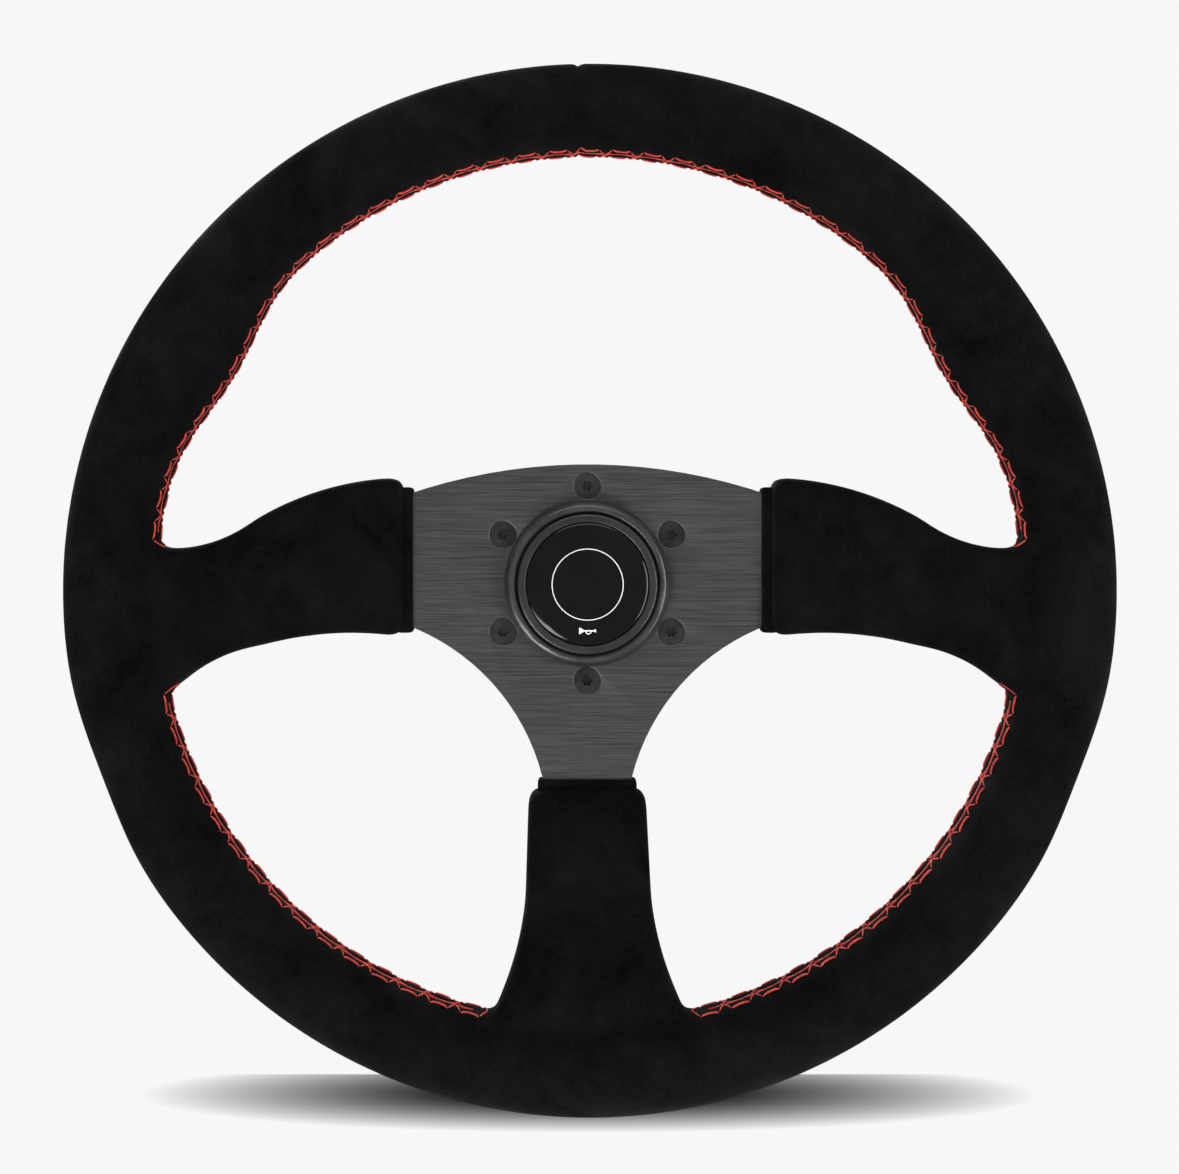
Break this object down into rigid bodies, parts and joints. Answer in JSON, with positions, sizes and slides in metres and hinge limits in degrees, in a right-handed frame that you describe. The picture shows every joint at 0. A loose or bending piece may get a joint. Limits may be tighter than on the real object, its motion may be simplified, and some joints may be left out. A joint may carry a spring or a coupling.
{
  "type": "quick release steering wheel",
  "caption": "Dished three-spoke suede racing wheel with cross-stitched rim, horn button and a sliding-collar ball-lock quick release hub",
  "frame": {"origin": "centre of the release socket's mouth, on the hub's seat face", "axes": "+Z is 12 o'clock on the wheel, +Y runs along the wheel's axis towards the column, -Y faces the driver, +X is the driver's right"},
  "size_m": [0.35, 0.1095, 0.35],
  "materials": {
    "suede": "brushed microfibre suede, black",
    "foam": "closed-cell foam",
    "thread": "waxed red thread",
    "black_plate": "brushed and black anodised",
    "black_metal": "satin black anodised",
    "steel": "turned steel",
    "bright_steel": "polished bearing steel",
    "black_steel": "black oxide",
    "spring_steel": "oiled spring wire",
    "black_plastic": "fine-grained moulding",
    "emblem_print": "printed disc, black with white lines",
    "clear_dome": "polished black resin",
    "contact_brass": "pressed brass"
  },
  "bodies": {
    "wheel": {"rim_cover": "suede", "rim_core": "foam", "rim_ring": "steel", "rim_rivets": "steel", "left_spoke_pad": "foam", "left_spoke_cover": "suede", "left_cuff": "suede", "right_spoke_pad": "foam", "right_spoke_cover": "suede", "right_cuff": "suede", "lower_spoke_pad": "foam", "lower_spoke_cover": "suede", "lower_cuff": "suede", "upper_left_stitching": "thread", "upper_right_stitching": "thread", "lower_left_stitching": "thread", "lower_right_stitching": "thread", "spoke_plate": "black_plate", "hub_screws": "black_steel", "bezel_ring": "black_metal", "horn_base": "black_plastic", "horn_terminals": "contact_brass", "fixed_contact": "contact_brass", "horn_spring": "spring_steel", "release_hub": "black_metal", "spline_socket": "steel", "socket_keys": "steel", "stop_clip": "spring_steel", "carrier_clip": "spring_steel", "pin_carrier": "black_plastic", "collar_spring": "spring_steel", "contact_spring": "spring_steel"},
    "button": {"horn_button": "black_plastic", "emblem_disc": "emblem_print", "emblem_dome": "clear_dome", "moving_contact": "contact_brass"},
    "collar": {"release_collar": "black_metal"},
    "plunger": {"contact_pin": "contact_brass"},
    "ball_1": {"locking_ball_1": "bright_steel"},
    "ball_2": {"locking_ball_2": "bright_steel"},
    "ball_3": {"locking_ball_3": "bright_steel"},
    "ball_4": {"locking_ball_4": "bright_steel"},
    "ball_5": {"locking_ball_5": "bright_steel"},
    "ball_6": {"locking_ball_6": "bright_steel"}
  },
  "joints": [
    {"name": "horn_press", "type": "slide", "parent": "wheel", "child": "button", "axis": [0, 1, 0], "range_m": [0, 0.002], "stiffness_N_per_m": 2000, "springref_m": -0.003, "deforming": ["horn_spring"]},
    {"name": "collar_pull", "type": "slide", "parent": "wheel", "child": "collar", "axis": [0, -1, 0], "range_m": [0, 0.008], "stiffness_N_per_m": 1500, "springref_m": -0.01, "deforming": ["collar_spring"]},
    {"name": "contact_plunge", "type": "slide", "parent": "wheel", "child": "plunger", "axis": [0, -1, 0], "range_m": [0, 0.002], "stiffness_N_per_m": 400, "springref_m": -0.003, "deforming": ["contact_spring"]},
    {"name": "ball_1_shift", "type": "slide", "parent": "wheel", "child": "ball_1", "axis": [0, 0, 1], "range_m": [0, 0.0016]},
    {"name": "ball_2_shift", "type": "slide", "parent": "wheel", "child": "ball_2", "axis": [-0.866, 0, 0.5], "range_m": [0, 0.0016]},
    {"name": "ball_3_shift", "type": "slide", "parent": "wheel", "child": "ball_3", "axis": [-0.866, 0, -0.5], "range_m": [0, 0.0016]},
    {"name": "ball_4_shift", "type": "slide", "parent": "wheel", "child": "ball_4", "axis": [0, 0, -1], "range_m": [0, 0.0016]},
    {"name": "ball_5_shift", "type": "slide", "parent": "wheel", "child": "ball_5", "axis": [0.866, 0, -0.5], "range_m": [0, 0.0016]},
    {"name": "ball_6_shift", "type": "slide", "parent": "wheel", "child": "ball_6", "axis": [0.866, 0, 0.5], "range_m": [0, 0.0016]}
  ],
  "couplings": [
    {"joint": "ball_1_shift", "follows": "collar_pull", "ratio": 0.2},
    {"joint": "ball_2_shift", "follows": "collar_pull", "ratio": 0.2},
    {"joint": "ball_3_shift", "follows": "collar_pull", "ratio": 0.2},
    {"joint": "ball_4_shift", "follows": "collar_pull", "ratio": 0.2},
    {"joint": "ball_5_shift", "follows": "collar_pull", "ratio": 0.2},
    {"joint": "ball_6_shift", "follows": "collar_pull", "ratio": 0.2}
  ]
}
